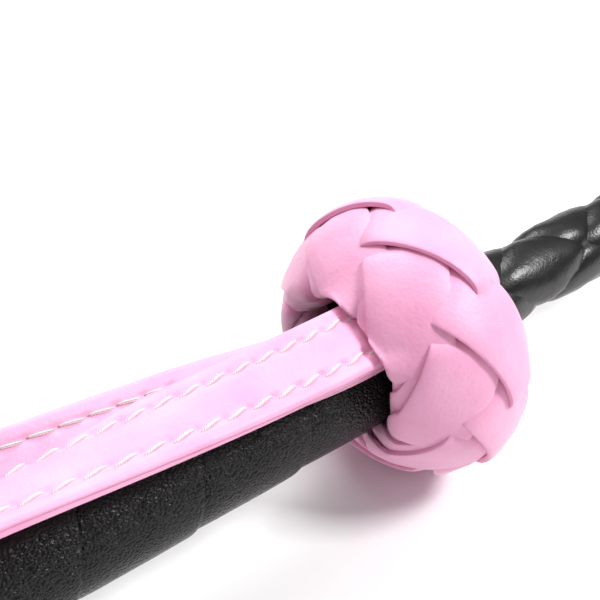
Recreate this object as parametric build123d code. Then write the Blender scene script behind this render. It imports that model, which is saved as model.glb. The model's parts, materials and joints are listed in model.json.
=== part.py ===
"""A riding crop: leather-covered grip with a knot at each end, a wrist loop, a plaited
shaft and a leather keeper. Millimetres. +X runs along the crop from butt to keeper, +Z is
up, and the origin is the centre of the butt end's flat face. The crop lies on its knots.

Three rigid groups: the crop itself, the wrist loop, which lifts about its root at the front
knot, and the keeper, which flexes about its root at the shaft's end.
"""

from build123d import *
from math import atan2, cos, degrees, radians, sin
import os

os.makedirs("parts", exist_ok=True)

# ---- driving dimensions -------------------------------------------------------------------
GRIP_R = 11.0            # outside of the grip's leather
WRAP_THICK = 1.2         # leather strip wound on the grip
WRAP_PITCH = 20.0        # one turn of that strip
UNDERLAY_THICK = 1.0     # soft tape under the leather
ROD_R = 3.0              # fibreglass rod inside the grip
ROD_TIP_R = 1.5          # and at its thin end
CORE_START_X = 3.0       # wooden handle core
CORE_END_X = 206.0
BUTT_KNOT_X = 14.0       # middle of the butt knot
FRONT_KNOT_X = 200.0     # middle of the front knot
ROD_END_X = 600.0
WEIGHT_R = 6.0           # steel weight inside the butt
WEIGHT_X0 = 9.0
WEIGHT_X1 = 45.0
NAIL_HEAD_R = 5.0        # the nail that closes the butt
NAIL_HEAD_THICK = 1.0
NAIL_SHANK_R = 1.0
BUTT_DISC_THICK = 2.0

FRONT_KNOT_R = 26.3      # outside of each knot
BUTT_KNOT_R = 25.0
FRONT_KNOT_LIFT = 1.4    # how far the strap's ends push the front knot off centre
KNOT_HALF_HEIGHT = 8.1   # half height and half width of the knots' oval section
KNOT_HALF_WIDTH = 11.0
KNOT_CORE_HALF_HEIGHT = 4.8     # and of the padding ring's
KNOT_CORE_HALF_WIDTH = 7.4
SKIN_GAP = 0.05          # between pieces that only touch

SHAFT_R = 7.9            # outside of the plait beside the front knot
SHAFT_TAPER_X = 255.0    # where the quick taper starts
SHAFT_WAIST_R = 5.6      # outside of the plait where the quick taper ends
SHAFT_WAIST_X = 300.0
SHAFT_TIP_R = 3.3        # outside of the plait at the keeper
SHAFT_END_X = 594.0
PLAIT_THICK = 1.3

STRAP_WIDTH = 12.0
STRAP_PLY = 1.3          # each of the strap's two leathers
STRAP_ANGLE = 68.0       # where the strap leaves the knot, degrees up from -Y
STRAP_HINGE_X = 184.0    # where the free loop starts
STRAP_REST_GAP = 0.3     # the free loop over the grip
LOOP_BEND_X = 47.0       # centre of the loop's far bend
LOOP_BEND_R = 8.6
LOOP_BEND_TILT = 22.0    # how far the bend leans back over the grip, in degrees
LOOP_RISE_X = 122.0      # where the upper leg starts to rise to the bend
REAR_LEG_SHIFT = 2.0     # how far the loop's lower leg slides back off the upper one
REAR_LEG_TILT = 30.0     # and how far it leans back over the grip, in degrees
UPPER_LEG_TILT = 1.0     # the same for the upper leg
LEG_PARTING = 34.0       # length over which the two legs slide apart
LEG_GAP = 0.4            # between the two legs once they are off each other
STITCH_INSET = 2.6       # stitch rows in from the strap's edges

KEEPER_HINGE_X = 608.0
KEEPER_LENGTH = 74.0
KEEPER_ROOT_WIDTH = 15.0
KEEPER_WIDTH = 28.0
KEEPER_PLY = 1.5
KEEPER_STITCH_INSET = 2.8
HINGE_GAP = 0.3

STRAP_THICK = 2 * STRAP_PLY
KEEPER_THICK = 2 * KEEPER_PLY
UNDERLAY_R = GRIP_R - WRAP_THICK
CORE_R = UNDERLAY_R - UNDERLAY_THICK


# ---- helpers ------------------------------------------------------------------------------
def save(node, shape):
    """Writes one node's STEP file."""
    export_step(shape, f"parts/{node}.step")


def rod(x0, x1, r0, r1=None):
    """A solid cylinder or cone along X."""
    along = (Align.CENTER, Align.CENTER, Align.MIN)
    if r1 is None:
        body = Cylinder(r0, x1 - x0, align=along)
    else:
        body = Cone(r0, r1, x1 - x0, align=along)
    return Pos(x0, 0, 0) * Rot(0, 90, 0) * body


def sleeve(x0, x1, inner, outer):
    """A tube along X; inner and outer are a radius, or a pair for its two ends."""
    inner = inner if isinstance(inner, tuple) else (inner, None)
    outer = outer if isinstance(outer, tuple) else (outer, None)
    return rod(x0, x1, *outer) - rod(x0, x1, *inner)


def radial(angle):
    """Unit vector out from the crop's axis, angle degrees up from -Y."""
    return Vector(0, -cos(radians(angle)), sin(radians(angle)))


def tangent(angle):
    """Unit vector round the crop's axis at that angle, towards +Y at the top."""
    return Vector(0, sin(radians(angle)), cos(radians(angle)))


def slab(x0, x1, low, high, width, angle=STRAP_ANGLE):
    """A flat block lying tangent over the grip, from radius low to high."""
    middle = radial(angle) * (low + high) / 2 + Vector((x0 + x1) / 2, 0, 0)
    plane = Plane(origin=middle, x_dir=(1, 0, 0), z_dir=radial(angle))
    return plane * Box(x1 - x0, width, high - low)


def nail(foot, head, direction, shank_r, head_r, head_thick):
    """A flat-headed nail from foot to the underside of its head."""
    plane = Plane(origin=foot, z_dir=direction)
    up = (Align.CENTER, Align.CENTER, Align.MIN)
    length = (Vector(head) - Vector(foot)).length
    shank = plane * Cylinder(shank_r, length, align=up)
    return shank + plane * Pos(0, 0, length) * Cylinder(head_r, head_thick, align=up)


# ---- grip ---------------------------------------------------------------------------------
def make_core_rod():
    """Fibreglass rod through the whole crop, tapering beyond the grip."""
    grip_part = rod(WEIGHT_X1, FRONT_KNOT_X, ROD_R)
    return grip_part + rod(FRONT_KNOT_X, ROD_END_X, ROD_R, ROD_TIP_R)


def make_handle_core():
    """Turned wooden sleeve on the rod, bored wider at the butt for the weight."""
    core = rod(CORE_START_X, CORE_END_X, CORE_R)
    core -= rod(WEIGHT_X1, CORE_END_X, ROD_R)
    core -= rod(WEIGHT_X0, WEIGHT_X1, WEIGHT_R)
    core -= rod(CORE_START_X, WEIGHT_X0, NAIL_SHANK_R)
    return core


def make_grip_underlay():
    """Soft tape on the core, a hair clear of the leather wound over it."""
    end_x = FRONT_KNOT_X + KNOT_HALF_WIDTH / 2
    return sleeve(CORE_START_X, end_x, CORE_R, UNDERLAY_R - 2 * SKIN_GAP)


def make_grip_wrap():
    """One leather strip wound edge to edge along the grip."""
    first_x, turns, seam = CORE_START_X + 0.5, 9.0, 0.15
    width = WRAP_PITCH - seam
    path = Helix(WRAP_PITCH, turns * WRAP_PITCH, UNDERLAY_R + WRAP_THICK / 2,
                 center=(first_x + width / 2, 0, 0), direction=(1, 0, 0), lefthand=True)
    start = path @ 0
    outward = Vector(0, start.Y, start.Z).normalized()
    face_plane = Plane(origin=start, x_dir=(1, 0, 0), z_dir=Vector(1, 0, 0).cross(outward))
    section = face_plane * Rectangle(width, WRAP_THICK)
    return sweep(section, path=path, is_frenet=True)


def make_wrap_tacks():
    """Flat tacks that hold the strip's two ends, hidden under the knots."""
    depth_in_wood, shank_r, head_r, head_thick = 2.2, 0.6, 1.8, 0.5
    out = radial(250.0)
    tacks = []
    for x in (BUTT_KNOT_X - 4, FRONT_KNOT_X - 5):
        foot = out * (CORE_R - depth_in_wood) + Vector(x, 0, 0)
        head = out * (GRIP_R + SKIN_GAP) + Vector(x, 0, 0)
        tacks.append(nail(foot, head, out, shank_r, head_r, head_thick))
    return Compound(children=tacks)


def make_butt_disc():
    """Leather disc over the core's end, with the nail's hole."""
    disc_r = GRIP_R - 0.4
    return sleeve(CORE_START_X - BUTT_DISC_THICK, CORE_START_X, NAIL_SHANK_R, disc_r)


def make_butt_nail():
    head = rod(0, NAIL_HEAD_THICK, NAIL_HEAD_R)
    return head + rod(NAIL_HEAD_THICK, WEIGHT_X0, NAIL_SHANK_R)


# ---- knots --------------------------------------------------------------------------------
KNOT_BORE_R = GRIP_R + 0.8      # leaves room for the tacks' heads
ANCHOR_TOP = GRIP_R + SKIN_GAP + 2 * STRAP_THICK
TACK_HEAD_THICK = 0.8


def knot_ring(x, outer_r, lift, half_height, half_width):
    """A whole oval-section ring; the strap under the front one lifts its centre by lift."""
    section = Pos(x, outer_r - KNOT_HALF_HEIGHT) * Ellipse(half_width, half_height)
    return Pos(0, 0, lift) * revolve(section, axis=Axis.X)


def strap_channel():
    """The space that the strap's ends take up under the front knot."""
    top = ANCHOR_TOP + TACK_HEAD_THICK + SKIN_GAP
    width = STRAP_WIDTH + 2 * SKIN_GAP
    reach = KNOT_HALF_WIDTH + 2
    return slab(FRONT_KNOT_X - reach, FRONT_KNOT_X + reach, CORE_R, top, width)


def knot_hole(x):
    """What a knot is open for: the grip, and the strap's ends beside the front knot."""
    reach = 2 * KNOT_HALF_WIDTH
    return rod(x - reach, x + reach, KNOT_BORE_R) + strap_channel()


def make_knot_core(x, outer_r, lift):
    """Padding ring of wound leather under a knot."""
    ring = knot_ring(x, outer_r, lift, KNOT_CORE_HALF_HEIGHT, KNOT_CORE_HALF_WIDTH)
    return ring - knot_hole(x)


def make_knot_lace(x, outer_r, lift):
    """The plaited lace round the padding, as one smooth shell of its outer shape."""
    skin = knot_ring(x, outer_r, lift, KNOT_HALF_HEIGHT, KNOT_HALF_WIDTH)
    room = knot_ring(x, outer_r, lift, KNOT_CORE_HALF_HEIGHT + SKIN_GAP,
                     KNOT_CORE_HALF_WIDTH + SKIN_GAP)
    return skin - knot_hole(x) - room


# ---- wrist loop ---------------------------------------------------------------------------
REAR_LEG_R = GRIP_R + STRAP_REST_GAP + STRAP_THICK / 2
STACK_STEP = STRAP_THICK + SKIN_GAP     # from one leg's middle to the other's in the stack
STRAP_HINGE_R = REAR_LEG_R + STACK_STEP / 2
KNUCKLE_R = STRAP_THICK + SKIN_GAP / 2


def smooth(t):
    """0 to 1 with level ends."""
    t = min(max(t, 0.0), 1.0)
    return t * t * (3 - 2 * t)


def leg_place(x, share):
    """Middle of one leg at x and its tilt, share 0 on the lower leg and 1 on the upper one.

    The legs leave the knot stacked. The lower one leans back over the grip, and the upper
    one rises from it to the far bend.
    """
    away = smooth((STRAP_HINGE_X - x) / LEG_PARTING)
    rise = smooth((LOOP_RISE_X - x) / (LOOP_RISE_X - LOOP_BEND_X))
    bend_tilt = LOOP_BEND_TILT * rise
    lower_tilt = STRAP_ANGLE + REAR_LEG_TILT * away * (1 - rise) + bend_tilt
    upper_tilt = STRAP_ANGLE + UPPER_LEG_TILT * away * (1 - rise) + bend_tilt
    tilt = lower_tilt + (upper_tilt - lower_tilt) * share
    close = STACK_STEP + LEG_GAP * away
    apart = 2 * LOOP_BEND_R
    height = REAR_LEG_R + (close + (apart - close) * rise) * share
    shift = REAR_LEG_SHIFT * away * (1 - share * (1 - rise))
    return Vector(x, 0, 0) + radial(tilt) * height + tangent(tilt) * shift, tilt


def loop_stations():
    """(middle, tilt, turn) along the strap: out on the upper leg, round, and back.

    turn is the strap's direction of travel, 0 out from the knot to 180 back towards it.
    """
    leg_steps, bend_steps = 18, 10
    leg_length = STRAP_HINGE_X - LOOP_BEND_X
    stations = []
    for i in range(leg_steps):
        x = STRAP_HINGE_X - leg_length * i / leg_steps
        middle, tilt = leg_place(x, 1.0)
        ahead = leg_place(x - 0.5, 1.0)[0]
        rise = (ahead - middle).dot(radial(tilt))
        turn = -degrees(atan2(rise, 0.5)) if i else 0.0
        stations.append((middle, tilt, turn))
    for i in range(bend_steps + 1):
        turn = 180.0 * i / bend_steps
        share = (1 + cos(radians(turn))) / 2
        middle, tilt = leg_place(LOOP_BEND_X, share)
        outwards = Vector(-LOOP_BEND_R * sin(radians(turn)), 0, 0)
        stations.append((middle + outwards, tilt, turn))
    for i in range(1, leg_steps + 1):
        x = LOOP_BEND_X + leg_length * i / leg_steps
        stations.append((*leg_place(x, 0.0), 180.0))
    return stations


def loop_band(low, high, left, right):
    """A band along the wrist loop. low to high is its thickness, outwards from the strap's
    middle; left to right is its width."""
    sections = []
    for middle, tilt, turn in loop_stations():
        outward = radial(tilt) * cos(radians(turn)) - Vector(1, 0, 0) * sin(radians(turn))
        across = tangent(tilt)
        corners = [middle + outward * o + across * w
                   for o, w in ((low, left), (low, right), (high, right), (high, left))]
        sections.append(Wire.make_polygon(corners, close=True))
    return Solid.make_loft(sections, ruled=True)


def strap_knuckle(low, high):
    """The loop's rounded root, from low to high out of the middle of its two legs."""
    middle = radial(STRAP_ANGLE) * STRAP_HINGE_R + Vector(STRAP_HINGE_X, 0, 0)
    plane = Plane(origin=middle, x_dir=(1, 0, 0), z_dir=tangent(STRAP_ANGLE))
    across = 2 * KNUCKLE_R
    knuckle = Cylinder(KNUCKLE_R, STRAP_WIDTH) & Box(across, 2 * high, STRAP_WIDTH)
    knuckle &= Pos(KNUCKLE_R, 0, 0) * Box(across, across, STRAP_WIDTH)
    if low > 0:
        knuckle -= Box(across, 2 * low, STRAP_WIDTH)
    return plane * knuckle


def make_strap_ply(side):
    """One leather of the loop: side 1 is the outer one, -1 the lining."""
    half, seam = STRAP_WIDTH / 2, STRAP_PLY + SKIN_GAP / 2
    if side > 0:
        return loop_band(0, STRAP_PLY, -half, half) + strap_knuckle(seam, KNUCKLE_R)
    return loop_band(-STRAP_PLY, 0, -half, half) + strap_knuckle(0, seam)


def make_strap_stitching():
    """The two rows of thread, each as a thin bar on either face of the strap.

    The bars on the lining start where the stacked legs have parted.
    """
    half, thread, thread_thick = STRAP_WIDTH / 2, 0.35, 0.2
    near = STRAP_PLY + SKIN_GAP / 2
    far = near + thread_thick
    parted_x = STRAP_HINGE_X - LEG_PARTING + 4.0
    parted = Pos(parted_x, 0, 0) * Box(parted_x, 4 * FRONT_KNOT_R, 4 * FRONT_KNOT_R,
                                       align=(Align.MAX, Align.CENTER, Align.CENTER))
    bars = []
    for row in (-half + STITCH_INSET, half - STITCH_INSET):
        bars.append(loop_band(near, far, row - thread, row + thread))
        lining_bar = loop_band(-far, -near, row - thread, row + thread)
        bars.extend((lining_bar & parted).solids())
    return Compound(children=bars)


def make_strap_ends():
    """Both ends of the strap, one on the other, glued and nailed down under the knot."""
    end_x = FRONT_KNOT_X + 6
    low = GRIP_R + SKIN_GAP
    start_x = STRAP_HINGE_X + KNUCKLE_R + HINGE_GAP
    return [slab(start_x, end_x, low + i * STRAP_THICK, low + (i + 1) * STRAP_THICK,
                 STRAP_WIDTH) for i in range(2)]


def make_strap_tacks():
    """Two flat-headed nails through both strap ends into the wooden core."""
    depth_in_wood, shank_r, head_r = 3.5, 0.7, 2.0
    out = radial(STRAP_ANGLE)
    nails = []
    for x in (FRONT_KNOT_X - 3, FRONT_KNOT_X + 3):
        foot = out * (CORE_R - depth_in_wood) + Vector(x, 0, 0)
        head = out * ANCHOR_TOP + Vector(x, 0, 0)
        nails.append(nail(foot, head, out, shank_r, head_r, TACK_HEAD_THICK))
    return Compound(children=nails)


# ---- shaft --------------------------------------------------------------------------------
def shaft_radius(x):
    """Outside radius of the plait: a quick taper to the waist, then a slow one."""
    if x < SHAFT_WAIST_X:
        share = smooth((x - SHAFT_TAPER_X) / (SHAFT_WAIST_X - SHAFT_TAPER_X))
        return SHAFT_R + (SHAFT_WAIST_R - SHAFT_R) * share
    share = (x - SHAFT_WAIST_X) / (SHAFT_END_X - SHAFT_WAIST_X)
    return SHAFT_WAIST_R + (SHAFT_TIP_R - SHAFT_WAIST_R) * share


def shaft_profile(inset, x0, x1, steps=14):
    """Points of the shaft's outline, inset below the plait's outside."""
    return [(x0 + (x1 - x0) * i / steps, shaft_radius(x0 + (x1 - x0) * i / steps) - inset)
            for i in range(steps + 1)]


def shaft_layer(inset_out, x0, x1, inner):
    """A layer of the shaft, revolved; inner is the outline of what lies under it."""
    outline = shaft_profile(inset_out, x0, x1) + inner[::-1]
    return revolve(make_face(Polyline(*outline, close=True)), axis=Axis.X)


def rod_radius(x):
    """Radius of the rod beyond the grip."""
    share = (x - FRONT_KNOT_X) / (ROD_END_X - FRONT_KNOT_X)
    return ROD_R + (ROD_TIP_R - ROD_R) * share


def make_shaft_bolster():
    """Rubber filler that gives the shaft its taper over the rod."""
    x0, x1 = CORE_END_X, SHAFT_END_X
    return shaft_layer(PLAIT_THICK, x0, x1, [(x, rod_radius(x)) for x in (x0, x1)])


def make_shaft_plait():
    """The four-strand leather plait, as one sleeve of its outer shape."""
    x0, x1 = CORE_END_X, SHAFT_END_X
    return shaft_layer(0, x0, x1, shaft_profile(PLAIT_THICK, x0, x1))


# ---- keeper -------------------------------------------------------------------------------
KEEPER_SLEEVE_X0 = 582.0
KEEPER_SLEEVE_X1 = SHAFT_END_X
KEEPER_SLEEVE_R = shaft_radius(KEEPER_SLEEVE_X0) + SKIN_GAP
WHIPPING_THREAD_R = 0.45
FERRULE_R = ROD_TIP_R + 0.58
FERRULE_END_X = ROD_END_X + 0.5


def half_space(side):
    """A block over everything above the keeper's mid plane, or below it for side -1."""
    return Pos(KEEPER_HINGE_X, 0, side * 20) * Box(80, 40, 40)


def make_keeper_root(side):
    """One half of the keeper's root: a half tube over the shaft's end, then a flat tab."""
    outer = KEEPER_SLEEVE_R + KEEPER_PLY
    half_tube = sleeve(KEEPER_SLEEVE_X0, KEEPER_SLEEVE_X1, KEEPER_SLEEVE_R, outer)
    tab_x0 = KEEPER_SLEEVE_X1
    tab_end = KEEPER_HINGE_X - KEEPER_PLY - HINGE_GAP
    wedge_points = [(tab_x0, 0), (tab_end, 0), (tab_end, KEEPER_PLY),
                    (ROD_END_X + 2, KEEPER_PLY + 0.6), (tab_x0, outer)]
    wedge = extrude(Plane.XZ * make_face(Polyline(*wedge_points, close=True)),
                    KEEPER_ROOT_WIDTH / 2, both=True)
    if side < 0:
        wedge = mirror(wedge, about=Plane.XY)
    room = rod(tab_x0, FERRULE_END_X, FERRULE_R + SKIN_GAP / 2)
    return (half_tube & half_space(side)) + (wedge - room)


def make_tip_ferrule():
    """Small brass cap that stops the rod's end working through the keeper."""
    cap = rod(SHAFT_END_X, FERRULE_END_X, FERRULE_R)
    return cap - rod(SHAFT_END_X, ROD_END_X, rod_radius(SHAFT_END_X), ROD_TIP_R)


def make_tip_whipping():
    """Close turns of waxed thread that bind the keeper's root to the shaft."""
    turn_r = KEEPER_SLEEVE_R + KEEPER_PLY + WHIPPING_THREAD_R + SKIN_GAP / 2
    first_x, step, turns = KEEPER_SLEEVE_X0 + 1.0, 2.04 * WHIPPING_THREAD_R, 11
    rings = [Pos(first_x + step * i, 0, 0) * Rot(0, 90, 0) * Torus(turn_r, WHIPPING_THREAD_R)
             for i in range(turns)]
    return Compound(children=rings)


def keeper_outline():
    """The free keeper from above: a straight-sided tongue with a rounded end."""
    length, half_root, half = KEEPER_LENGTH, KEEPER_ROOT_WIDTH / 2, KEEPER_WIDTH / 2
    corner, shoulder = 9.0, 16.0
    x0, x1 = KEEPER_HINGE_X, KEEPER_HINGE_X + length
    outline = Polyline((x0, -half_root), (x0 + shoulder, -half), (x1, -half),
                       (x1, half), (x0 + shoulder, half), (x0, half_root), close=True)
    face = make_face(outline)
    return fillet(face.vertices().group_by(Axis.X)[-1], corner)


def make_keeper_ply(side):
    """One leather of the keeper, its root end rounded about the hinge line."""
    ply = extrude(keeper_outline(), side * KEEPER_PLY)
    knuckle = Pos(KEEPER_HINGE_X, 0, 0) * Rot(90, 0, 0) * Cylinder(
        KEEPER_PLY, KEEPER_ROOT_WIDTH)
    return ply + (knuckle & half_space(side))


def make_keeper_stitching():
    """Thread round the keeper's edge, as a thin bar on either face."""
    thread_width, thread_thick, root_clearance = 0.7, 0.2, 2.0
    outline = keeper_outline()
    outer = offset(outline, -KEEPER_STITCH_INSET)
    inner = offset(outline, -KEEPER_STITCH_INSET - thread_width)
    clear_of_root = 2 * (KEEPER_STITCH_INSET + root_clearance)
    row = outer - inner - Pos(KEEPER_HINGE_X, 0, 0) * Rectangle(clear_of_root, 40)
    bars = [extrude(Pos(0, 0, side * (KEEPER_PLY + SKIN_GAP / 2)) * row, side * thread_thick)
            for side in (1, -1)]
    return Compound(children=bars)


# ---- build --------------------------------------------------------------------------------
wrap_tacks = make_wrap_tacks()
strap_tacks = make_strap_tacks()


def pierced(shape, *tack_sets):
    """A piece with the holes that the tacks make in it."""
    for tacks in tack_sets:
        shape -= tacks
    return shape


save("core_rod", make_core_rod())
save("butt_weight", rod(WEIGHT_X0, WEIGHT_X1, WEIGHT_R))
save("handle_core", pierced(make_handle_core(), wrap_tacks, strap_tacks))
save("grip_underlay", pierced(make_grip_underlay(), wrap_tacks, strap_tacks))
save("grip_wrap", pierced(make_grip_wrap(), wrap_tacks, strap_tacks))
save("wrap_tacks", wrap_tacks)
save("butt_disc", make_butt_disc())
save("butt_nail", make_butt_nail())
for knot, size in (("butt_knot", (BUTT_KNOT_X, BUTT_KNOT_R, 0.0)),
                   ("front_knot", (FRONT_KNOT_X, FRONT_KNOT_R, FRONT_KNOT_LIFT))):
    save(f"{knot}_core", make_knot_core(*size))
    save(f"{knot}_lace", make_knot_lace(*size))
for name, strap_end in zip(("strap_end_lower", "strap_end_upper"), make_strap_ends()):
    save(name, pierced(strap_end, strap_tacks))
save("strap_tacks", strap_tacks)
save("wrist_strap_outer", make_strap_ply(1))
save("wrist_strap_lining", make_strap_ply(-1))
save("wrist_strap_stitching", make_strap_stitching())
save("shaft_bolster", make_shaft_bolster())
save("shaft_plait", make_shaft_plait())
save("tip_ferrule", make_tip_ferrule())
save("tip_whipping", make_tip_whipping())
for name, face_side in (("top", 1), ("bottom", -1)):
    save(f"keeper_root_{name}", make_keeper_root(face_side))
    save(f"keeper_flap_{name}", make_keeper_ply(face_side))
save("keeper_stitching", make_keeper_stitching())
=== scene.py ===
"""A riding crop's looks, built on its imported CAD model. Metres; +X runs from butt to keeper,
+Z is up and the crop lies on its two knots.

An angle round the crop, called an aspect here, is counted in radians from -Y up over +Z.
"""
import math

import bmesh
import bpy
import numpy as np
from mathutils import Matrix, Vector
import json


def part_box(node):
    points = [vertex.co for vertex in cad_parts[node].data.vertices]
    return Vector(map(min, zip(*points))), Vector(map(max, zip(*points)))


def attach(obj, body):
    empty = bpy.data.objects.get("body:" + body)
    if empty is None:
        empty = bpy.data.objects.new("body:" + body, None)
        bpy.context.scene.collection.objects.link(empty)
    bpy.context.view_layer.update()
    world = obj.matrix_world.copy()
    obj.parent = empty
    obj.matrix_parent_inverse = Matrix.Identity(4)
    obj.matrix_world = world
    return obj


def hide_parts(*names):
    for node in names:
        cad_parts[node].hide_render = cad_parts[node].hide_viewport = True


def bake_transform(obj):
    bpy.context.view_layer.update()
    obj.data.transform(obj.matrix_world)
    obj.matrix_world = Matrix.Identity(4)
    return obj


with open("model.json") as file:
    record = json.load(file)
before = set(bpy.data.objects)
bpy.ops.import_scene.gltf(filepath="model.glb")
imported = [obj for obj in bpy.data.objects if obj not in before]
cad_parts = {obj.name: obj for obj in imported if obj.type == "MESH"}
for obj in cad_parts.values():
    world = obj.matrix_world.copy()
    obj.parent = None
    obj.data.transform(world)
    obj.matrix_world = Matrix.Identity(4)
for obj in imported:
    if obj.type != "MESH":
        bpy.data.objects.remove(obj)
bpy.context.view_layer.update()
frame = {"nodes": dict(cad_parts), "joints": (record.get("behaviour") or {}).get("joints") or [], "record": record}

MM = 0.001


# ---- sizes taken from the frame -----------------------------------------------------------
def half_height(node):
    low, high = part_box(node)
    return (high[2] - low[2]) / 2


def middle(node):
    low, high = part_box(node)
    return (Vector(low) + Vector(high)) / 2


GRIP_R = half_height("grip_wrap")
FRONT_KNOT_X = middle("front_knot_lace").x
FLOOR_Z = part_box("front_knot_lace")[0][2]
SHAFT_R = half_height("shaft_plait")
SHAFT_END_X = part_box("shaft_plait")[1][0]
JOINTS = {joint["name"]: joint for joint in frame["joints"]}
strap_joint = JOINTS["wrist_loop_swing"]
STRAP_ASPECT = math.atan2(strap_joint["axis"][1], strap_joint["axis"][2])
STRAP_HINGE_X = strap_joint["pos_m"][0]
STRAP_HINGE_R = math.hypot(strap_joint["pos_m"][1], strap_joint["pos_m"][2])
KEEPER_HINGE_X = JOINTS["keeper_flex"]["pos_m"][0]


# ---- mesh helpers -------------------------------------------------------------------------
def add_object(name, data):
    piece = bpy.data.objects.new(name, data)
    bpy.context.scene.collection.objects.link(piece)
    return piece


def radial(aspect):
    """Unit vectors out from the crop's axis."""
    aspect = np.asarray(aspect, float)
    return np.stack([0 * aspect, -np.cos(aspect), np.sin(aspect)], -1)


def tangent(aspect):
    """Unit vectors round the crop's axis, the way the aspect grows."""
    aspect = np.asarray(aspect, float)
    return np.stack([0 * aspect, np.sin(aspect), np.cos(aspect)], -1)


def smooth(t):
    t = np.clip(t, 0.0, 1.0)
    return t * t * (3 - 2 * t)


def grid_mesh(name, points, uv, loop_along=False):
    """A mesh of rings: points is (rings, round, 3), closed round each ring; uv is the same
    shape with 2 numbers, in metres along and across the leather. It is closed by a cap at
    each end, or by joining the last ring to the first when loop_along is set."""
    rings, around = points.shape[:2]
    vertices = points.reshape(-1, 3)
    ring = np.arange(rings if loop_along else rings - 1)[:, None]
    step = np.arange(around)[None, :]
    ahead, beside = (ring + 1) % rings, (step + 1) % around
    faces = np.stack([ring * around + step, ring * around + beside,
                      ahead * around + beside, ahead * around + step], -1).reshape(-1, 4)
    mesh = bpy.data.meshes.new(name)
    face_list = faces.tolist()
    if not loop_along:
        face_list.append(list(range(around))[::-1])
        face_list.append(list(range((rings - 1) * around, rings * around)))
    mesh.from_pydata(vertices.tolist(), [], face_list)
    layer = mesh.uv_layers.new(name="leather")
    corner = np.zeros(len(mesh.loops), int)
    mesh.loops.foreach_get("vertex_index", corner)
    layer.data.foreach_set("uv", uv.reshape(-1, 2)[corner].astype(np.float32).ravel())
    mesh.polygons.foreach_set("use_smooth", [True] * len(mesh.polygons))
    mesh.update()
    return add_object(name, mesh)


def face_out(piece):
    """Turns the faces so that their normals point outwards."""
    shape = bmesh.new()
    shape.from_mesh(piece.data)
    bmesh.ops.recalc_face_normals(shape, faces=shape.faces)
    shape.to_mesh(piece.data)
    shape.free()


def finish_piece(piece, material):
    face_out(piece)
    piece.data.materials.append(material)
    return piece


def band_profile(count, squareness):
    """A squared circle as its across and through values, from -1 to 1: a lace's section."""
    turn = np.arange(count) * 2 * np.pi / count
    across = np.sign(np.cos(turn)) * np.abs(np.cos(turn)) ** (2 / squareness)
    through = np.sign(np.sin(turn)) * np.abs(np.sin(turn)) ** (2 / squareness)
    return across, through


# ---- materials ----------------------------------------------------------------------------
def new_material(name):
    material = bpy.data.materials.new(name)
    material.use_nodes = True
    tree = material.node_tree
    return material, tree, tree.nodes["Principled BSDF"]


def add_node(tree, kind, **values):
    node = tree.nodes.new(kind)
    for key, value in values.items():
        if key in node.inputs:
            node.inputs[key].default_value = value
        else:
            setattr(node, key, value)
    return node


def noise_node(tree, coordinates, scale, detail=3.0, roughness=0.5):
    node = add_node(tree, "ShaderNodeTexNoise", Scale=scale, Detail=detail,
                    Roughness=roughness)
    tree.links.new(coordinates, node.inputs["Vector"])
    return node.outputs["Fac"]


def voronoi_node(tree, coordinates, scale, feature="F1"):
    node = add_node(tree, "ShaderNodeTexVoronoi", feature=feature, Scale=scale)
    tree.links.new(coordinates, node.inputs["Vector"])
    return node.outputs["Distance"]


def ramp_node(tree, value, stops):
    """A colour ramp; stops are (place, colour)."""
    node = tree.nodes.new("ShaderNodeValToRGB")
    tree.links.new(value, node.inputs["Fac"])
    ramp = node.color_ramp
    for element, (place, colour) in zip(ramp.elements, (stops[0], stops[-1])):
        element.position = place
        element.color = (*colour, 1)
    for place, colour in stops[1:-1]:
        ramp.elements.new(place).color = (*colour, 1)
    return node.outputs["Color"]


def map_range(tree, value, low, high):
    node = add_node(tree, "ShaderNodeMapRange")
    node.inputs["To Min"].default_value = low
    node.inputs["To Max"].default_value = high
    tree.links.new(value, node.inputs["Value"])
    return node.outputs["Result"]


def bump(tree, shader, height, distance, strength, under=None):
    """Adds a bump; under is a bump node that this one goes on top of."""
    node = add_node(tree, "ShaderNodeBump", Strength=strength, Distance=distance)
    tree.links.new(height, node.inputs["Height"])
    if under is not None:
        tree.links.new(under.outputs["Normal"], node.inputs["Normal"])
    tree.links.new(node.outputs["Normal"], shader.inputs["Normal"])
    return node


def object_space(tree):
    return tree.nodes.new("ShaderNodeTexCoord").outputs["Object"]


def soft_leather(name, light, deep):
    """Soft dyed leather: faint mottling, fine pores and little creases."""
    material, tree, shader = new_material(name)
    place = object_space(tree)
    mottle = noise_node(tree, place, 140.0, 4.0)
    tree.links.new(ramp_node(tree, mottle, ((0.3, deep), (0.7, light))),
                   shader.inputs["Base Color"])
    gloss = noise_node(tree, place, 900.0, 2.0)
    tree.links.new(map_range(tree, gloss, 0.40, 0.56), shader.inputs["Roughness"])
    shader.inputs["Sheen Weight"].default_value = 0.25
    shader.inputs["Sheen Roughness"].default_value = 0.5
    shader.inputs["Specular IOR Level"].default_value = 0.4
    creases = bump(tree, shader, noise_node(tree, place, 330.0, 5.0, 0.62), 0.35 * MM, 0.35)
    cells = voronoi_node(tree, place, 1500.0)
    bump(tree, shader, cells, 0.05 * MM, 0.5, creases)
    return material


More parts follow.
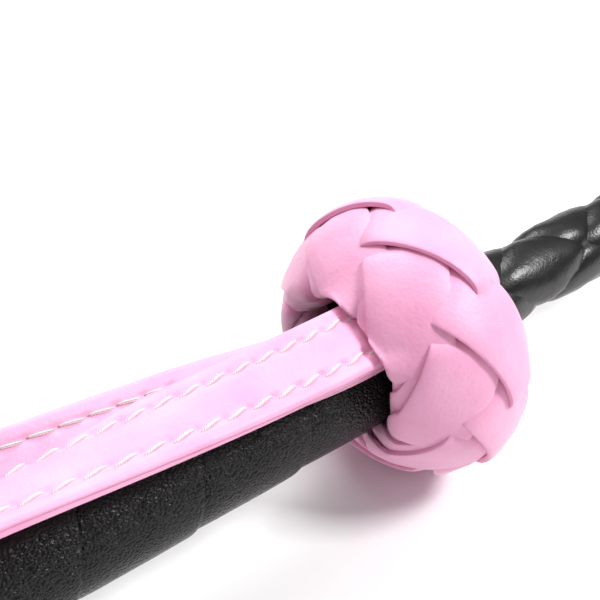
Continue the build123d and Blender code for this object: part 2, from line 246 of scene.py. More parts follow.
def pebbled_leather(name, colour, worn):
    """Black leather with a fine raised pebble grain that catches the light in specks."""
    material, tree, shader = new_material(name)
    shader.inputs["Specular IOR Level"].default_value = 0.26
    place = object_space(tree)
    patches = noise_node(tree, place, 160.0, 3.0)
    tree.links.new(ramp_node(tree, patches, ((0.35, colour), (0.75, worn))),
                   shader.inputs["Base Color"])
    tree.links.new(map_range(tree, patches, 0.22, 0.34), shader.inputs["Roughness"])
    pebbles = voronoi_node(tree, place, 2500.0, "SMOOTH_F1")
    pores = voronoi_node(tree, place, 3600.0)
    swell = bump(tree, shader, noise_node(tree, place, 260.0, 3.0), 0.4 * MM, 0.25)
    coarse = bump(tree, shader, pebbles, -0.42 * MM, 0.9, swell)
    bump(tree, shader, pores, -0.10 * MM, 0.6, coarse)
    return material


def glossy_leather(name, colour, worn):
    """Smooth polished black leather with soft uneven shine."""
    material, tree, shader = new_material(name)
    place = object_space(tree)
    patches = noise_node(tree, place, 220.0, 4.0)
    tree.links.new(ramp_node(tree, patches, ((0.35, colour), (0.75, worn))),
                   shader.inputs["Base Color"])
    tree.links.new(map_range(tree, patches, 0.26, 0.42), shader.inputs["Roughness"])
    swell = bump(tree, shader, noise_node(tree, place, 350.0, 4.0, 0.6), 0.4 * MM, 0.35)
    bump(tree, shader, voronoi_node(tree, place, 2200.0), -0.06 * MM, 0.5, swell)
    return material


def twisted_thread(name, colour, dark):
    """Twisted thread: slanting plies and loose fibres."""
    material, tree, shader = new_material(name)
    place = object_space(tree)
    fibres = noise_node(tree, place, 3500.0, 3.0)
    tree.links.new(ramp_node(tree, fibres, ((0.25, dark), (0.7, colour))),
                   shader.inputs["Base Color"])
    shader.inputs["Roughness"].default_value = 0.75
    shader.inputs["Sheen Weight"].default_value = 0.3
    spiral = add_node(tree, "ShaderNodeTexWave", wave_type="BANDS",
                      bands_direction="DIAGONAL", Scale=1.0, Distortion=0.5)
    tree.links.new(tree.nodes.new("ShaderNodeUVMap").outputs["UV"], spiral.inputs["Vector"])
    twist = bump(tree, shader, spiral.outputs["Fac"], 0.15 * MM, 0.8)
    bump(tree, shader, fibres, 0.05 * MM, 0.5, twist)
    return material


def grained_solid(name, colour, dark, roughness, scale, metallic=0.0, stretch=1.0):
    """A plain stock with its own grain: metal, wood, rubber, fibreglass or tape."""
    material, tree, shader = new_material(name)
    mapping = add_node(tree, "ShaderNodeMapping")
    mapping.inputs["Scale"].default_value = (1 / stretch, 1, 1)
    tree.links.new(object_space(tree), mapping.inputs["Vector"])
    grain = noise_node(tree, mapping.outputs["Vector"], scale, 4.0, 0.6)
    tree.links.new(ramp_node(tree, grain, ((0.3, dark), (0.7, colour))),
                   shader.inputs["Base Color"])
    tree.links.new(map_range(tree, grain, roughness * 0.8, roughness * 1.2),
                   shader.inputs["Roughness"])
    shader.inputs["Metallic"].default_value = metallic
    bump(tree, shader, grain, 0.05 * MM, 0.4)
    return material


PINK, PINK_DEEP = (0.90, 0.43, 0.64), (0.86, 0.36, 0.57)
MATERIALS = {
    "pink_leather": soft_leather("pink_leather", PINK, PINK_DEEP),
    "strap_leather": soft_leather("strap_leather", PINK, PINK_DEEP),
    "black_leather": pebbled_leather("black_leather", (0.003, 0.003, 0.003),
                                     (0.007, 0.007, 0.007)),
    "plait_leather": glossy_leather("plait_leather", (0.006, 0.006, 0.006),
                                    (0.012, 0.012, 0.012)),
    "stitch_thread": twisted_thread("stitch_thread", (0.95, 0.84, 0.82), (0.88, 0.70, 0.70)),
    "waxed_thread": twisted_thread("waxed_thread", (0.03, 0.03, 0.03), (0.01, 0.01, 0.01)),
    "padding": grained_solid("padding", (0.4, 0.25, 0.17), (0.25, 0.14, 0.09), 0.8, 400.0),
    "wood": grained_solid("wood", (0.62, 0.42, 0.24), (0.42, 0.26, 0.13), 0.6, 500.0,
                          stretch=12.0),
    "fibreglass": grained_solid("fibreglass", (0.72, 0.7, 0.56), (0.6, 0.58, 0.45), 0.4,
                                900.0, stretch=20.0),
    "filler": grained_solid("filler", (0.05, 0.05, 0.05), (0.02, 0.02, 0.02), 0.8, 600.0),
    "tape": grained_solid("tape", (0.3, 0.3, 0.3), (0.2, 0.2, 0.2), 0.9, 1200.0),
    "steel": grained_solid("steel", (0.62, 0.62, 0.64), (0.45, 0.45, 0.47), 0.3, 700.0, 1.0),
    "brass": grained_solid("brass", (0.78, 0.57, 0.25), (0.6, 0.42, 0.16), 0.3, 700.0, 1.0),
}


def dress_cad_nodes():
    """Every CAD node gets its slot's material."""
    for part in frame["record"]["subparts"]:
        node = frame["nodes"][part["node"]]
        node.data.materials.clear()
        node.data.materials.append(MATERIALS[part["material_slot"]])


# ---- grip ---------------------------------------------------------------------------------
WRAP_PITCH = 19.85 * MM
WRAP_TUCK = 1.5 * MM     # how far a turn's back edge goes under the turn before
WRAP_START = -2.05       # aspect at which the strip starts


def make_grip_wrap():
    """The leather strip wound on the grip. Each turn's front edge laps the next turn."""
    start_x, end_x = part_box("grip_wrap")[0][0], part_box("grip_underlay")[1][0]
    # The strip's section in millimetres: along the grip, and out from the grip's radius.
    section = np.array([
        (-1.5, -0.95), (0.0, -0.62), (1.6, -0.36), (4.0, -0.20), (7.0, -0.10), (10.0, -0.04),
        (13.0, 0.0), (16.0, 0.0), (18.2, 0.0), (19.2, -0.02), (19.65, -0.10), (19.85, -0.28),
        (19.80, -0.52), (19.4, -0.80), (16.0, -1.05), (8.0, -1.12), (0.0, -1.16)]) * MM
    turns = (end_x - start_x) / WRAP_PITCH
    steps = int(turns * 120)
    angle = np.linspace(0, turns * 2 * np.pi, steps)
    ring_x = start_x + WRAP_TUCK + angle * WRAP_PITCH / (2 * np.pi)
    x = ring_x[:, None] + section[None, :, 0]
    wander = 0.12 * MM * np.sin(angle * 0.37 + 1.0) + 0.06 * MM * np.sin(angle * 2.3)
    x = np.clip(x + wander[:, None], start_x, end_x)
    radius = GRIP_R + section[None, :, 1] + 0 * x
    radius += 0.05 * MM * np.sin(angle[:, None] * 3.1 + section[None, :, 0] * 300)
    points = radial(angle + WRAP_START)[:, None, :] * radius[..., None]
    points[..., 0] = x
    uv = np.stack([angle[:, None] * GRIP_R + 0 * x, section[None, :, 0] + 0 * x], -1)
    return grid_mesh("grip_winding", points, uv)


# ---- plaited knots ------------------------------------------------------------------------
STACK_STEP = 2.65 * MM           # from the strap's lower leg to the upper, at the knot
STRAP_TOP_R = STRAP_HINGE_R + STACK_STEP     # outside of both legs, at the knot
DRAPE_HALF_WIDTH = 5.5 * MM      # of the strap's top, which the front knot's lace lies over


class Knot:
    """A knot's domed section and the lace plaited over it: three passes of one long lace
    that follow each other, the first on top and the others showing beside it at the rims.

    A place on the section is a distance from the crest, measured along the section's outline
    through the middle of the plait's thickness: plus towards the shaft.
    """

    leads = 5                 # strands side by side across the knot
    bights = 8                # turns at each rim
    reaches = (9.6 * MM, 13.2 * MM, 16.2 * MM)   # swing of each pass, each way from the spine
    pass_step = 0.75 * MM     # how much lower each pass lies than the one before
    spine = -4.0 * MM         # the swing's middle, where the two ways of the plait meet, from the crest
    lace_width = 12.6 * MM
    lace_thick = 1.5 * MM
    lift_step = 1.10 * MM     # a strand's rise over, and fall under, the others
    shingle = 0.55 * MM       # how much a strand's edge towards the butt stands proud
    flatness = 0.30           # how far a strand stays flat across instead of bending round
    crossing = 4.5            # how suddenly a strand goes from over to under
    dive_reach = 0.55         # how far each side of that its leather is creased
    crease = 0.08 * MM
    crease_width = 0.42 * MM  # across the lace, for each radian of the creases' wave
    waist_rise = 3.2 * MM     # the widest place, out from the rim's inner edge
    fullness = 0.90           # under 1 squares the section's shoulders
    bore_gap = 0.3 * MM       # between the grip and the rim's inner edge
    drape_ease = 5.0 * MM     # beside the strap, where the lace comes down from it again
    drape_lift = 0.35         # share of a strand's lift that is left where it lies on the strap

    def __init__(self, node, start_aspect, lean, flare, at_shaft):
        """lean is how far the knot's top tips towards the butt, flare how much wider it is
        at the grip on that side; at_shaft says that it covers the strap's ends and closes
        towards the shaft."""
        low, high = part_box(node)
        self.centre_x = (low[0] + high[0]) / 2
        self.centre_z = (low[2] + high[2]) / 2
        self.start_aspect = start_aspect
        self.lean = lean
        self.at_shaft = at_shaft
        outside = self.lift_step + self.lace_thick / 2
        bore_r = GRIP_R + self.lace_thick / 2 + self.bore_gap
        waist_r = bore_r + self.waist_rise
        crest_r = (high[2] - low[2]) / 2 - outside
        half_wide = (high[0] - low[0]) / 2 - outside
        around = np.radians(np.linspace(-160, 160, 1601))
        out, wide = np.cos(around), np.sin(around)
        neck_r = bore_r - (GRIP_R - SHAFT_R) * (wide > 0) * at_shaft
        height = np.where(out > 0, crest_r - waist_r, waist_r - neck_r)
        x = half_wide * np.sign(wide) * np.abs(wide) ** self.fullness
        r = waist_r + height * np.sign(out) * np.abs(out) ** self.fullness
        down = np.clip((crest_r - r) / (crest_r - waist_r), 0, 1)
        x = np.where(wide < 0, x - flare * down, x)
        steps = np.hypot(np.diff(x), np.diff(r))
        distance = np.concatenate([[0], np.cumsum(steps)])
        self.distance = distance - np.interp(0, around, distance)
        self.outline = np.stack([x, r], -1)
        ahead = np.gradient(self.outline, self.distance, axis=0)
        ahead /= np.linalg.norm(ahead, axis=1)[:, None]
        self.normal = np.stack([-ahead[:, 1], ahead[:, 0]], -1)

    def place(self, distance, aspect, lift):
        """Point on the knot at that distance, aspect and lift out of the section."""
        x, r, out_x, out_r = [np.interp(distance, self.distance, values)
                              for values in (*self.outline.T, *self.normal.T)]
        points = radial(aspect) * (r + lift * out_r)[..., None]
        points[..., 0] = self.centre_x + x + lift * out_x - self.lean * np.sin(aspect)
        points[..., 2] += self.centre_z
        if self.at_shaft:
            outward, across = radial(STRAP_ASPECT), tangent(STRAP_ASPECT)
            height, aside = points @ outward, points @ across
            near = 1 - smooth((np.abs(aside) - DRAPE_HALF_WIDTH) / self.drape_ease)
            lowest = STRAP_TOP_R + self.lace_thick / 2 + self.drape_lift * lift
            short = np.clip(lowest - height, 0, None) * near * (height > 0)
            points += short[..., None] * outward
        return points

    def lace(self, name, number):
        """One pass of the lace, all the way round the knot."""
        reach = self.reaches[number]
        steps, around = 2000, 44
        travel = np.arange(steps) * 2 * np.pi * self.leads / steps
        phase = travel * self.bights / self.leads
        weave = np.cos(phase)
        aspect = self.start_aspect - travel
        middle = self.spine + reach * weave
        middle_r = np.interp(middle, self.distance, self.outline[:, 1])
        run_across = -np.sin(phase) * reach * self.bights / self.leads
        length = np.hypot(run_across, middle_r)
        side_across, side_round = middle_r / length, -run_across / length
        over = np.tanh(-self.crossing * np.sin(2 * phase))

        u, through = band_profile(around, 7.0)
        w = u[None, :] * self.lace_width / 2
        w = w * (1 + 0.04 * np.sin(travel * 2.3 + 0.7))[:, None]
        crown = 1 - 0.15 * np.abs(u[None, :]) ** 4
        lift = self.lift_step * over[:, None] + through[None, :] * self.lace_thick / 2 * crown
        on_top = np.clip(over, 0, 1)[:, None]
        lift = lift - self.shingle * u[None, :] * on_top - self.pass_step * number
        dive = np.exp(-(over / self.dive_reach) ** 2)[:, None]
        creases = np.cos(w / self.crease_width + 9 * np.sin(travel)[:, None])
        lift += self.crease * dive * creases
        distance = middle[:, None] + w * side_across[:, None]
        turn = aspect[:, None] - w * (side_round / middle_r)[:, None]
        round_points = self.place(distance, turn, lift)

        nudge = 0.2 * MM
        ends = [self.place(middle + nudge * way * side_across,
                           aspect - nudge * way * side_round / middle_r, 0 * travel)
                for way in (1, -1)]
        side = ends[0] - ends[1]
        side /= np.linalg.norm(side, axis=1)[:, None]
        middle_point = (ends[0] + ends[1]) / 2
        outward = np.cross(side, np.gradient(middle_point, axis=0))
        outward /= np.linalg.norm(outward, axis=1)[:, None]
        outward *= np.sign(np.sum(outward * radial(aspect), axis=1))[:, None]
        flat_points = (middle_point[:, None] + side[:, None] * w[..., None]
                       + outward[:, None] * lift[..., None])
        share = (self.flatness * on_top)[..., None]
        points = round_points * (1 - share) + flat_points * share
        uv = np.stack([travel[:, None] * middle_r.mean() + 0 * w, w + 0 * travel[:, None]], -1)
        return grid_mesh(name, points, uv, loop_along=True)


def make_neck_band():
    """A leather band round the shaft that closes the front knot on that side."""
    low_r, high_r = SHAFT_R - 0.5 * MM, GRIP_R + 4.5 * MM
    place_x, half_wide = FRONT_KNOT_X + 6.8 * MM, 1.6 * MM
    turn = np.linspace(0, 2 * np.pi, 240, endpoint=False)
    out, wide = band_profile(32, 2.6)
    radius = (low_r + high_r) / 2 + out * (high_r - low_r) / 2
    points = radial(turn)[:, None, :] * radius[None, :, None]
    points[..., 0] = place_x + wide[None, :] * half_wide
    uv = np.stack([turn[:, None] * radius[None, :], wide[None, :] + 0 * turn[:, None]], -1)
    return grid_mesh("neck_band", points, uv, loop_along=True)


# ---- shaft --------------------------------------------------------------------------------
SHAFT_TAPER_X = FRONT_KNOT_X + 55 * MM
SHAFT_WAIST_R = 5.6 * MM
SHAFT_WAIST_X = 300 * MM
SHAFT_TIP_R = 3.3 * MM
PLAIT_ANGLE = math.radians(44)
PLAIT_THICK = 1.75 * MM
PLAIT_CROSSING = 2.4                 # how suddenly a strand goes from over to under
PLAIT_LAP = 1.03                     # a strand's width against the room it has
PLAIT_ASPECT = math.radians(140)     # round the shaft, where the two ways of the plait cross
PLAIT_PHASE = math.radians(58)       # how far past that crossing the strands start


def shaft_radius(x):
    """Outside radius of the plait: a quick taper to the waist, then a slow one."""
    share = smooth((x - SHAFT_TAPER_X) / (SHAFT_WAIST_X - SHAFT_TAPER_X))
    quick = SHAFT_R + (SHAFT_WAIST_R - SHAFT_R) * share
    slow = np.clip((x - SHAFT_WAIST_X) / (SHAFT_END_X - SHAFT_WAIST_X), 0, 1)
    return quick + (SHAFT_TIP_R - SHAFT_WAIST_R) * slow


def make_plait_strand(index):
    """One of the four strands: two wind each way, over one and under one."""
    way, half_turn = (1, -1)[index % 2], index // 2
    start_x = FRONT_KNOT_X + 2 * MM
    length = SHAFT_END_X - start_x
    steps, around = 1500, 22
    x = start_x + length * np.linspace(0, 1, steps)
    r = shaft_radius(x)
    gain = np.tan(PLAIT_ANGLE) / r
    wind = np.concatenate([[0], np.cumsum((gain[1:] + gain[:-1]) / 2 * np.diff(x))])
    wind += PLAIT_PHASE
    aspect = PLAIT_ASPECT + way * wind + math.pi * half_turn
    over = np.tanh(PLAIT_CROSSING * way * np.cos(2 * wind)) / math.tanh(PLAIT_CROSSING)

    u, through = band_profile(around, 3.0)
    thick = (PLAIT_THICK * r / SHAFT_R)[:, None]
    half = (np.pi * r * np.cos(PLAIT_ANGLE) / 2 * PLAIT_LAP)[:, None]
    w = u[None, :] * half
    place = np.clip(x[:, None] - way * w * math.sin(PLAIT_ANGLE), start_x, SHAFT_END_X)
    turn = aspect[:, None] + w * math.cos(PLAIT_ANGLE) / r[:, None]
    crown = 1 - 0.32 * np.abs(u[None, :]) ** 2.5
    lift = 0.42 * thick * over[:, None] + through[None, :] * thick / 2 * crown
    lift -= 0.36 * thick * np.abs(u[None, :]) ** 2.6
    radius = shaft_radius(place) - 0.80 * thick + lift
    points = radial(turn) * radius[..., None]
    points[..., 0] = place
    uv = np.stack([wind[:, None] * SHAFT_R * 1.4 + 0 * w, w], -1)
    return grid_mesh(f"plait_strand_{index + 1}", points, uv)


# ---- wrist strap --------------------------------------------------------------------------
STRAP_WIDTH = 12.0 * MM
STRAP_PLY = 1.3 * MM
STRAP_THICK = 2 * STRAP_PLY
LOOP_BEND_R = 8.6 * MM
LOOP_BEND_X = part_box("wrist_strap_outer")[0][0] + LOOP_BEND_R + STRAP_PLY
REAR_LEG_R = STRAP_HINGE_R - STACK_STEP / 2
REAR_LEG_SHIFT = 2.0 * MM
REAR_LEG_TURN = math.radians(25)     # how far round the grip the lower leg goes
REAR_LEG_TIP = math.radians(46)      # how steeply it stands up on its near edge
REAR_LEG_STAND = 2.8 * MM            # how much further out it stands to clear the grip
UPPER_LEG_TURN = math.radians(13)
UPPER_LEG_TIP = math.radians(30)     # how far the upper leg leans back
LOOP_RISE_X = 108 * MM               # from here to the far bend the legs rise to the top
LEG_PARTING = 34 * MM                # length over which the legs come off each other
LEG_SLIDE = 85 * MM                  # and over which they slide apart and turn
LEG_GAP = 0.4 * MM
STITCH_INSET = 2.7 * MM
STITCH_PITCH = 4.3 * MM
HOLE_DEPTH = 0.32 * MM
HOLE_R = 0.55 * MM


def leg_place(x, share):
    """Middle of one leg at x and its tilt, share 0 on the lower leg and 1 on the upper.

    The legs leave the knot stacked. The upper one slides over towards the top of the grip,
    and the lower one stands up behind it on its near edge, showing its lining.
    """
    away = smooth((STRAP_HINGE_X - x) / LEG_PARTING)
    slide = smooth((STRAP_HINGE_X - x) / LEG_SLIDE)
    rise = smooth((LOOP_RISE_X - x) / (LOOP_RISE_X - LOOP_BEND_X))
    upright = math.pi / 2 - STRAP_ASPECT
    lower_place = STRAP_ASPECT + REAR_LEG_TURN * slide * (1 - rise) + upright * rise
    upper_place = STRAP_ASPECT + UPPER_LEG_TURN * slide * (1 - rise) + upright * rise
    place = lower_place + (upper_place - lower_place) * share
    close = STACK_STEP + LEG_GAP * away
    stand = REAR_LEG_STAND * slide * (1 - rise) * (1 - share)
    height = REAR_LEG_R + stand + (close + (2 * LOOP_BEND_R - close) * rise) * share
    shift = REAR_LEG_SHIFT * away * (1 - share * (1 - rise))
    middle = radial(place) * height[..., None] + tangent(place) * shift[..., None]
    middle[..., 0] = x
    tip = UPPER_LEG_TIP * share - REAR_LEG_TIP * (1 - share)
    return middle, place + tip * slide * (1 - rise)


def strap_path():
    """Middle points and tilts along the strap: out on the upper leg, round the far bend and
    back on the lower leg, both ends under the front knot."""
    step = 0.5 * MM
    under_knot = FRONT_KNOT_X + 6 * MM
    leg_x = np.arange(under_knot, LOOP_BEND_X, -step)
    turn = np.arange(0, np.pi, step / LOOP_BEND_R)
    share = (1 + np.cos(turn)) / 2
    bend, bend_tilt = leg_place(np.full_like(turn, LOOP_BEND_X), share)
    bend[:, 0] -= LOOP_BEND_R * np.sin(turn)
    upper, upper_tilt = leg_place(leg_x, np.ones_like(leg_x))
    lower, lower_tilt = leg_place(leg_x[::-1], np.zeros_like(leg_x))
    middle = np.concatenate([upper, bend, lower])
    tilt = np.concatenate([upper_tilt, bend_tilt, lower_tilt])
    length = np.concatenate([[0], np.cumsum(np.linalg.norm(np.diff(middle, axis=0), axis=1))])
    even = np.arange(0, length[-1], step)
    middle = np.stack([np.interp(even, length, middle[:, i]) for i in range(3)], -1)
    return even, middle, np.interp(even, length, tilt)


class Strap:
    """The strap's middle line with its outward and sideways directions."""

    def __init__(self):
        self.along, self.middle, tilt = strap_path()
        ahead = np.gradient(self.middle, axis=0)
        ahead /= np.linalg.norm(ahead, axis=1)[:, None]
        across = tangent(tilt)
        across -= ahead * np.sum(across * ahead, axis=1)[:, None]
        self.across = across / np.linalg.norm(across, axis=1)[:, None]
        self.outward = np.cross(self.across, ahead)

    def at(self, distance):
        """Middle, across and outward at a distance along the strap."""
        return [np.stack([np.interp(distance, self.along, values[:, i]) for i in range(3)], -1)
                for values in (self.middle, self.across, self.outward)]


def stitch_holes(strap):
    return np.arange(2 * MM, strap.along[-1] - 2 * MM, STITCH_PITCH)


def make_strap(strap):
    """Both leathers of the strap as one band: rolled edges with the seam between them, a
    slight swell between the stitch rows, and a dimple at each stitch hole."""
    half, roll = STRAP_WIDTH / 2, 0.75 * MM
    edge = np.linspace(-np.pi / 2, np.pi / 2, 7)
    face = np.concatenate([np.linspace(-1, -0.62, 7), np.linspace(-0.56, 0.56, 15),
                           np.linspace(0.62, 1, 7)]) * (half - roll)
    top = np.stack([face, np.full_like(face, STRAP_THICK / 2)], -1)
    profile = [top]
    for side in (1, -1):
        for ply in (side, -side):
            centre = ply * STRAP_PLY / 2
            roll_x = side * (half - roll) + side * roll * np.cos(edge)
            roll_z = centre + STRAP_PLY / 2 * np.sin(edge) * -side
            profile.append(np.stack([roll_x, roll_z], -1)[1:-1])
        if side == 1:
            profile.append(top[::-1] * [1, -1])
    profile = np.concatenate(profile)
    w, z = profile[:, 0], profile[:, 1]
    row = half - STITCH_INSET
    swell = 0.16 * MM * np.exp(-(w / (2.0 * MM)) ** 2)
    pinch = 0.24 * MM * np.exp(-((np.abs(w) - row) / (0.7 * MM)) ** 2)
    thin_edge = 0.22 * MM * smooth((np.abs(w) - row) / (half - row))
    z = z + np.sign(z) * (swell - pinch - thin_edge) * (np.abs(z) > 0.9 * MM)
    z = np.repeat(z[None, :], len(strap.along), 0)
    for hole in stitch_holes(strap):
        near = np.abs(strap.along - hole) < 2 * MM
        away = (strap.along[near][:, None] - hole) ** 2
        for side in (row, -row):
            dip = HOLE_DEPTH * np.exp(-(away + (w[None, :] - side) ** 2) / HOLE_R ** 2)
            z[near] -= np.sign(z[near]) * dip * (np.abs(z[near]) > 0.8 * MM)
    points = (strap.middle[:, None] + strap.across[:, None] * w[None, :, None]
              + strap.outward[:, None] * z[..., None])
    uv = np.stack([strap.along[:, None] + 0 * z, w[None, :] + 0 * z], -1)
    return grid_mesh("wrist_strap", points, uv)


def tube(centre, radius):
    """Rings of points about a short centre line; radius is one number for each ring."""
    around = 8
    ahead = np.gradient(centre, axis=0)
    ahead /= np.linalg.norm(ahead, axis=1)[:, None]
    helper = np.cross(ahead, [0.31, 0.52, 0.79])
    helper /= np.linalg.norm(helper, axis=1)[:, None]
    other = np.cross(ahead, helper)
    turn = np.arange(around) * 2 * np.pi / around
    ring = (helper[:, None] * np.cos(turn)[None, :, None]
            + other[:, None] * np.sin(turn)[None, :, None])
    return centre[:, None] + ring * radius[:, None, None]


def join_tubes(name, tubes):
    """One mesh of many short capped tubes."""
    pieces = []
    for number, rings in enumerate(tubes):
        along = np.linspace(0, 6.0, rings.shape[0])[:, None] + 0 * rings[..., 0]
        across = np.arange(rings.shape[1])[None, :] / 4.0 + 0 * rings[..., 0]
        pieces.append(grid_mesh(f"{name}_{number}", rings, np.stack([along, across], -1)))
    joined = bmesh.new()
    for piece in pieces:
        joined.from_mesh(piece.data)
        bpy.data.meshes.remove(piece.data)
    mesh = bpy.data.meshes.new(name)
    joined.to_mesh(mesh)
    joined.free()
    return add_object(name, mesh)


STITCH_SHARE = np.linspace(0, 1, 9)           # places along one stitch
STITCH_SPAN = 0.06 + 0.88 * STITCH_SHARE      # the same places as shares of the pitch
STITCH_ARCH = np.sin(np.pi * STITCH_SHARE) ** 0.6
STITCH_RISE = 0.42 * MM                       # how high the arch stands over the leather


def stitch_radius(at_ends, more):
    """The thread's radius along one stitch, from millimetres at its ends and how much more
    it has in the middle."""
    return (at_ends + more * np.sin(np.pi * STITCH_SHARE) ** 0.7) * MM


def make_strap_stitches(strap):
    """Every stitch of the four rows: slanted on the outer face, nearly straight on the
    lining."""
    row = STRAP_WIDTH / 2 - STITCH_INSET
    radius = stitch_radius(0.13, 0.15)
    tubes = []
    for hole in stitch_holes(strap)[:-1]:
        for side in (row, -row):
            for face in (1, -1):
                slant = 0.42 * MM if face > 0 else 0.10 * MM
                middle, across, outward = strap.at(hole + STITCH_PITCH * STITCH_SPAN)
                height = face * (STRAP_THICK / 2 - 0.50 * MM + STITCH_RISE * STITCH_ARCH)
                sideways = side + slant * np.cos(np.pi * STITCH_SHARE)
                centre = middle + across * sideways[:, None] + outward * height[:, None]
                tubes.append(tube(centre, radius))
    return join_tubes("strap_stitches", tubes)


# ---- keeper -------------------------------------------------------------------------------
KEEPER_ROOT_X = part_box("keeper_root_top")[0][0]
KEEPER_END_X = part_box("keeper_flap_top")[1][0]
KEEPER_ROOT_R = half_height("keeper_root_top") * 2     # its box is the root's upper half
KEEPER_ROOT_HALF = 7.5 * MM
KEEPER_HALF = 14.0 * MM
KEEPER_SHOULDER = 16.0 * MM      # length over which the flap widens
KEEPER_CORNER = 9.0 * MM
KEEPER_THICK = 3.0 * MM
KEEPER_STITCH_INSET = 2.8 * MM
KEEPER_STITCH_PITCH = 3.8 * MM


def keeper_half_width(x):
    """Half width of the keeper's root and flap."""
    root = KEEPER_ROOT_R + (KEEPER_ROOT_HALF - KEEPER_ROOT_R) * smooth(
        (x - SHAFT_END_X) / (KEEPER_HINGE_X - SHAFT_END_X - 4 * MM))
    widening = np.clip((x - KEEPER_HINGE_X) / KEEPER_SHOULDER, 0, 1)
    half = root + (KEEPER_HALF - KEEPER_ROOT_HALF) * widening
    past = np.clip(x - (KEEPER_END_X - KEEPER_CORNER), 0, KEEPER_CORNER)
    return half - KEEPER_CORNER + np.sqrt(KEEPER_CORNER ** 2 - past ** 2)


def make_keeper():
    """Two leathers, wrapped round the shaft's end and laid flat on each other beyond it."""
    main = np.arange(KEEPER_ROOT_X, KEEPER_END_X - KEEPER_CORNER, 0.4 * MM)
    turn = np.radians(np.linspace(0, 89, 40))
    x = np.concatenate([main, KEEPER_END_X - KEEPER_CORNER + KEEPER_CORNER * np.sin(turn)])
    flat = smooth((x - SHAFT_END_X + 2 * MM) / (KEEPER_HINGE_X - SHAFT_END_X))
    half_thick = KEEPER_ROOT_R + (KEEPER_THICK / 2 - KEEPER_ROOT_R) * flat
    around = 72
    angle = np.arange(around) * 2 * np.pi / around
    power = 1 - 0.78 * flat[:, None]
    across = np.sign(np.cos(angle)) * np.abs(np.cos(angle)) ** power
    through = np.sign(np.sin(angle)) * np.abs(np.sin(angle)) ** power
    y = across * keeper_half_width(x)[:, None]
    z = through * half_thick[:, None]
    inset = keeper_half_width(x)[:, None] - np.abs(y)
    on_flap = smooth((x - KEEPER_HINGE_X) / (6 * MM))[:, None]
    groove = np.exp(-((inset - KEEPER_STITCH_INSET) / (0.7 * MM)) ** 2)
    bowed = 0.12 * MM * np.sin(x * 110)[:, None] * np.cos(y * 160)
    z = z - np.sign(z) * 0.16 * MM * groove * on_flap + bowed * on_flap
    seam = 0.35 * MM * np.exp(-(z / (0.28 * MM)) ** 2) * flat[:, None]
    y = y - np.sign(y) * seam * (inset < 0.8 * MM)
    points = np.stack([x[:, None] + 0 * y, y, z], -1)
    uv = np.stack([x[:, None] + 0 * y, y], -1)
    return grid_mesh("keeper_leather", points, uv)


def keeper_stitch_line():
    """The stitching's route over the flap: out along one side, round the end and back."""
    x = np.arange(KEEPER_HINGE_X + 5 * MM, KEEPER_END_X - KEEPER_CORNER, 0.5 * MM)
    y = keeper_half_width(x) - KEEPER_STITCH_INSET
    side = np.stack([x, y], -1)
    turn = np.radians(np.linspace(0, 90, 16))
    corner_r = KEEPER_CORNER - KEEPER_STITCH_INSET
    corner = np.stack([KEEPER_END_X - KEEPER_CORNER + corner_r * np.sin(turn),
                       KEEPER_HALF - KEEPER_CORNER + corner_r * np.cos(turn)], -1)
    half = np.concatenate([side, corner])
    return np.concatenate([half, half[::-1] * [1, -1]])


def make_keeper_stitches():
    """Every stitch of the keeper's row, on both faces."""
    line = keeper_stitch_line()
    length = np.concatenate([[0], np.cumsum(np.linalg.norm(np.diff(line, axis=0), axis=1))])
    slant = 0.30 * MM * np.cos(np.pi * STITCH_SHARE)
    radius = stitch_radius(0.15, 0.17)
    tubes = []
    for hole in np.arange(0, length[-1] - KEEPER_STITCH_PITCH, KEEPER_STITCH_PITCH):
        distance = hole + KEEPER_STITCH_PITCH * STITCH_SPAN
        x, y = [np.interp(distance, length, line[:, i]) for i in range(2)]
        for face in (1, -1):
            z = face * (KEEPER_THICK / 2 - 0.40 * MM + STITCH_RISE * STITCH_ARCH)
            tubes.append(tube(np.stack([x + slant * 0.4, y + slant, z], -1), radius))
    return join_tubes("keeper_stitches", tubes)


# ---- build --------------------------------------------------------------------------------
dress_cad_nodes()

grip_winding = finish_piece(make_grip_wrap(), MATERIALS["black_leather"])
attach(grip_winding, "crop")
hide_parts("grip_wrap")

for knot, lean, flare, at_shaft in (("front_knot", 1.0 * MM, 5.0 * MM, True),
                                    ("butt_knot", 0.0, 0.0, False)):
    plait = Knot(f"{knot}_lace", math.radians(51), lean, flare, at_shaft)
    for number in range(len(plait.reaches)):
        lace = plait.lace(f"{knot}_pass_{number + 1}", number)
        finish_piece(lace, MATERIALS["pink_leather"])
        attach(lace, "crop")
        if number == 0:
            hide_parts(f"{knot}_lace")

neck_band = finish_piece(make_neck_band(), MATERIALS["pink_leather"])
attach(neck_band, "crop")

for index in range(4):
    strand = finish_piece(make_plait_strand(index), MATERIALS["plait_leather"])
    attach(strand, "crop")
    if index == 0:
        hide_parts("shaft_plait")

strap_line = Strap()
wrist_strap = finish_piece(make_strap(strap_line), MATERIALS["strap_leather"])
strap_stitches = finish_piece(make_strap_stitches(strap_line), MATERIALS["stitch_thread"])
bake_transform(wrist_strap)
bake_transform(strap_stitches)
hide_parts("wrist_strap_outer", "wrist_strap_lining", "strap_end_lower",
            "strap_end_upper")
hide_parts("wrist_strap_stitching")

keeper = finish_piece(make_keeper(), MATERIALS["strap_leather"])
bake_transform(keeper)
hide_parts("keeper_flap_top", "keeper_flap_bottom", "keeper_root_top",
            "keeper_root_bottom")
keeper_stitches = finish_piece(make_keeper_stitches(), MATERIALS["stitch_thread"])
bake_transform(keeper_stitches)
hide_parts("keeper_stitching")


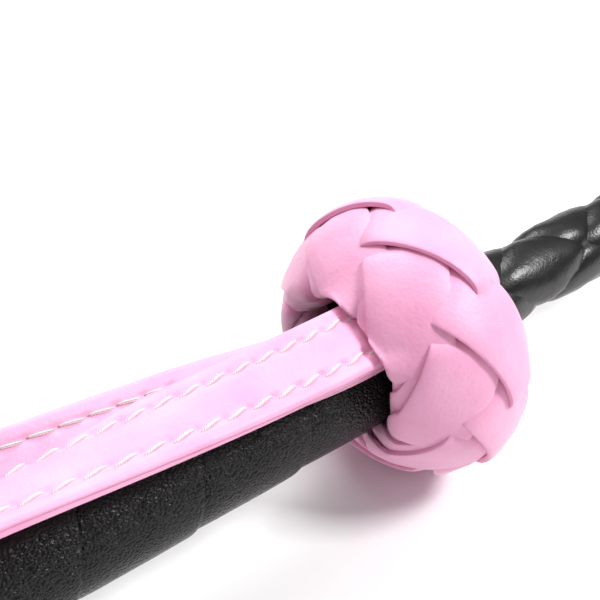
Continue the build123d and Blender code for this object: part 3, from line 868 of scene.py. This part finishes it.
# ---- camera, light and floor --------------------------------------------------------------
VIEW_AZIMUTH = math.radians(-36.2)
VIEW_ELEVATION = math.radians(40.7)
VIEW_DISTANCE = 151.6 * MM
VIEW_LENS = 49.0
AIM_LEFT, AIM_UP = 19.2 * MM, 7.4 * MM     # the aim point from the front knot's middle


def add_camera():
    back = Vector((math.sin(VIEW_AZIMUTH) * math.cos(VIEW_ELEVATION),
                   -math.cos(VIEW_AZIMUTH) * math.cos(VIEW_ELEVATION),
                   math.sin(VIEW_ELEVATION)))
    right = Vector((math.cos(VIEW_AZIMUTH), math.sin(VIEW_AZIMUTH), 0))
    up = back.cross(right)
    aim = Vector((FRONT_KNOT_X, 0, 0)) - right * AIM_LEFT + up * AIM_UP
    data = bpy.data.cameras.new("camera")
    data.lens = VIEW_LENS
    data.sensor_width = 36.0
    data.clip_start = 0.005
    data.clip_end = 20.0
    camera = add_object("camera", data)
    camera.location = aim + back * VIEW_DISTANCE
    camera.rotation_mode = "QUATERNION"
    camera.rotation_quaternion = (-back).to_track_quat("-Z", "Y")
    bpy.context.scene.camera = camera


def add_area_light(name, place, aim, size, power):
    data = bpy.data.lights.new(name, "AREA")
    data.shape = "SQUARE"
    data.size = size
    data.energy = power
    light = add_object(name, data)
    light.location = place
    light.rotation_euler = (Vector(aim) - Vector(place)).to_track_quat("-Z", "Y").to_euler()


def add_floor():
    """A pale sweep that the crop lies on."""
    size = 6.0
    bpy.ops.mesh.primitive_plane_add(size=size, location=(0.3, 0, FLOOR_Z))
    floor = bpy.context.object
    floor.name = "floor"
    material, tree, shader = new_material("studio_floor")
    shader.inputs["Base Color"].default_value = (0.93, 0.93, 0.93, 1)
    shader.inputs["Roughness"].default_value = 0.9
    floor.data.materials.append(material)


def add_studio():
    world = bpy.data.worlds.new("studio")
    world.use_nodes = True
    tree = world.node_tree
    background = tree.nodes["Background"]
    direction = tree.nodes.new("ShaderNodeTexCoord").outputs["Generated"]
    split = tree.nodes.new("ShaderNodeSeparateXYZ")
    tree.links.new(direction, split.inputs["Vector"])
    sky = ramp_node(tree, split.outputs["Z"], ((0.0, (0.10,) * 3), (0.35, (0.22,) * 3),
                                               (0.85, (1.0,) * 3)))
    tree.links.new(sky, background.inputs["Color"])
    background.inputs["Strength"].default_value = 0.70
    bpy.context.scene.world = world
    bpy.context.scene.view_settings.view_transform = "Standard"
    aim = (FRONT_KNOT_X, 0, 0)
    add_area_light("key", (0.60, -0.35, 0.70), aim, 0.20, 7.0)
    add_area_light("back", (0.30, 0.55, 0.65), aim, 0.45, 6.0)


add_camera()
add_floor()
add_studio()
